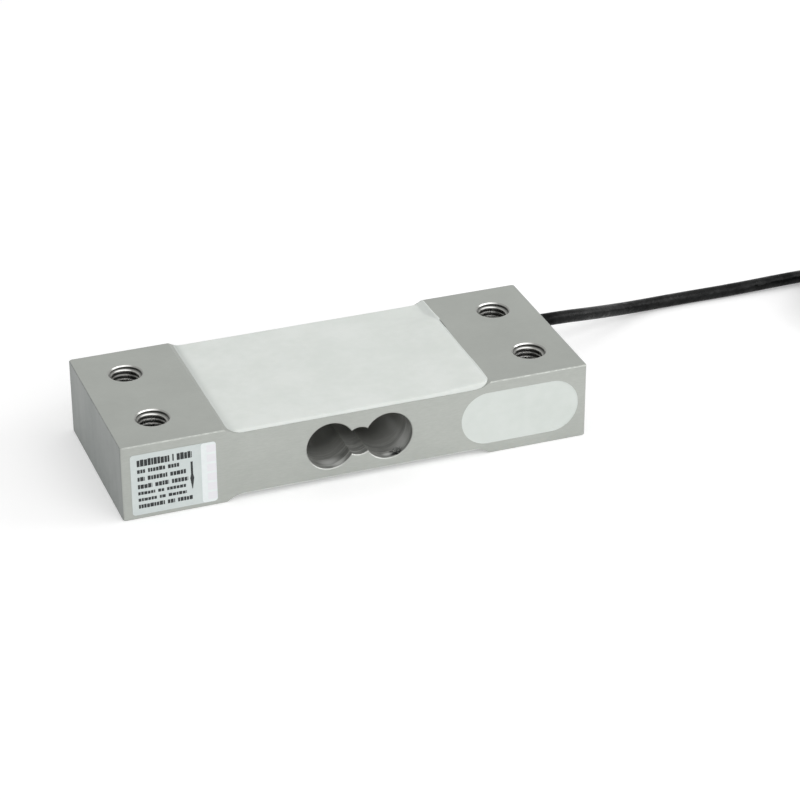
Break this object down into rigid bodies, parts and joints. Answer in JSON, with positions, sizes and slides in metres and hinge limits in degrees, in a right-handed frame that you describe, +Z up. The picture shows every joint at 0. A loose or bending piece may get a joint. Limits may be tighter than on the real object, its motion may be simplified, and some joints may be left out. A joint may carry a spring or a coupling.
{
  "type": "single point load cell",
  "caption": "Low platform load cell: an aluminium spring body with a binocular bore, silicone over its gauges, tapped mounting holes and a tied coil of shielded cable.",
  "frame": {"origin": "centre of the spring body's bottom face", "axes": "+X along the body from the load end to the fixed end, where the cable leaves; +Z up, out of the face that carries the load; -Y out of the face with the label"},
  "size_m": [0.3237, 0.0743, 0.025],
  "materials": {
    "body_aluminium": "machined, clear anodised, satin",
    "sealant_silicone": "white silicone, spread by hand, dull satin",
    "potting_silicone": "white potting compound, self-levelled, satin",
    "label_film": "pale printed polyester film, satin",
    "carrier_film": "amber polyimide film, glossy",
    "gauge_foil": "etched resistance foil, bright",
    "strip_laminate": "thin glass and resin laminate, dull",
    "tinned_copper": "tinned copper, bright",
    "enamelled_wire": "enamelled copper wire, glossy",
    "board_laminate": "green circuit board, satin",
    "chip_body": "black glazed chip resistor",
    "insulation_red": "red wire insulation, satin",
    "insulation_black": "black wire insulation, satin",
    "insulation_green": "green wire insulation, satin",
    "insulation_white": "white wire insulation, satin",
    "cable_jacket": "black extruded jacket, satin, slightly uneven",
    "bush_rubber": "black moulded rubber, dull",
    "ferrule_metal": "nickelled crimp ferrule, satin",
    "shield_braid": "tinned copper braid",
    "tie_ribbon": "black plastic ribbon with a wire in it, satin",
    "shrink_sleeve": "black shrunk sleeve, satin"
  },
  "bodies": {
    "root": {"bottom_sealant": "sealant_silicone", "bridge_wires_bottom": "enamelled_wire", "bridge_wires_top": "enamelled_wire", "cable_bush": "bush_rubber", "cable_coil": "cable_jacket", "cable_ferrule": "ferrule_metal", "cable_inlet": "cable_jacket", "cable_run": "cable_jacket", "cable_shield": "shield_braid", "cable_tail": "cable_jacket", "coil_tie": "tie_ribbon", "core_black": "insulation_black", "core_green": "insulation_green", "core_red": "insulation_red", "core_white": "insulation_white", "end_sleeve": "shrink_sleeve", "front_potting": "potting_silicone", "gauge_carrier_bottom_fixed": "carrier_film", "gauge_carrier_bottom_load": "carrier_film", "gauge_carrier_top_fixed": "carrier_film", "gauge_carrier_top_load": "carrier_film", "gauge_grid_bottom_fixed": "gauge_foil", "gauge_grid_bottom_load": "gauge_foil", "gauge_grid_top_fixed": "gauge_foil", "gauge_grid_top_load": "gauge_foil", "gauge_jumpers_bottom": "enamelled_wire", "gauge_jumpers_top": "enamelled_wire", "input_resistor": "chip_body", "lead_black": "insulation_black", "lead_green": "insulation_green", "lead_red": "insulation_red", "lead_tips": "tinned_copper", "lead_white": "insulation_white", "rating_label": "label_film", "rear_potting": "potting_silicone", "shield_drain": "tinned_copper", "span_resistor_a": "chip_body", "span_resistor_b": "chip_body", "spring_body": "body_aluminium", "terminal_pads_bottom": "tinned_copper", "terminal_pads_top": "tinned_copper", "terminal_strip_bottom": "strip_laminate", "terminal_strip_top": "strip_laminate", "top_sealant": "sealant_silicone", "trim_board": "board_laminate", "trim_board_pads": "tinned_copper", "zero_drift_resistor": "chip_body", "zero_resistor": "chip_body"}
  },
  "joints": []
}
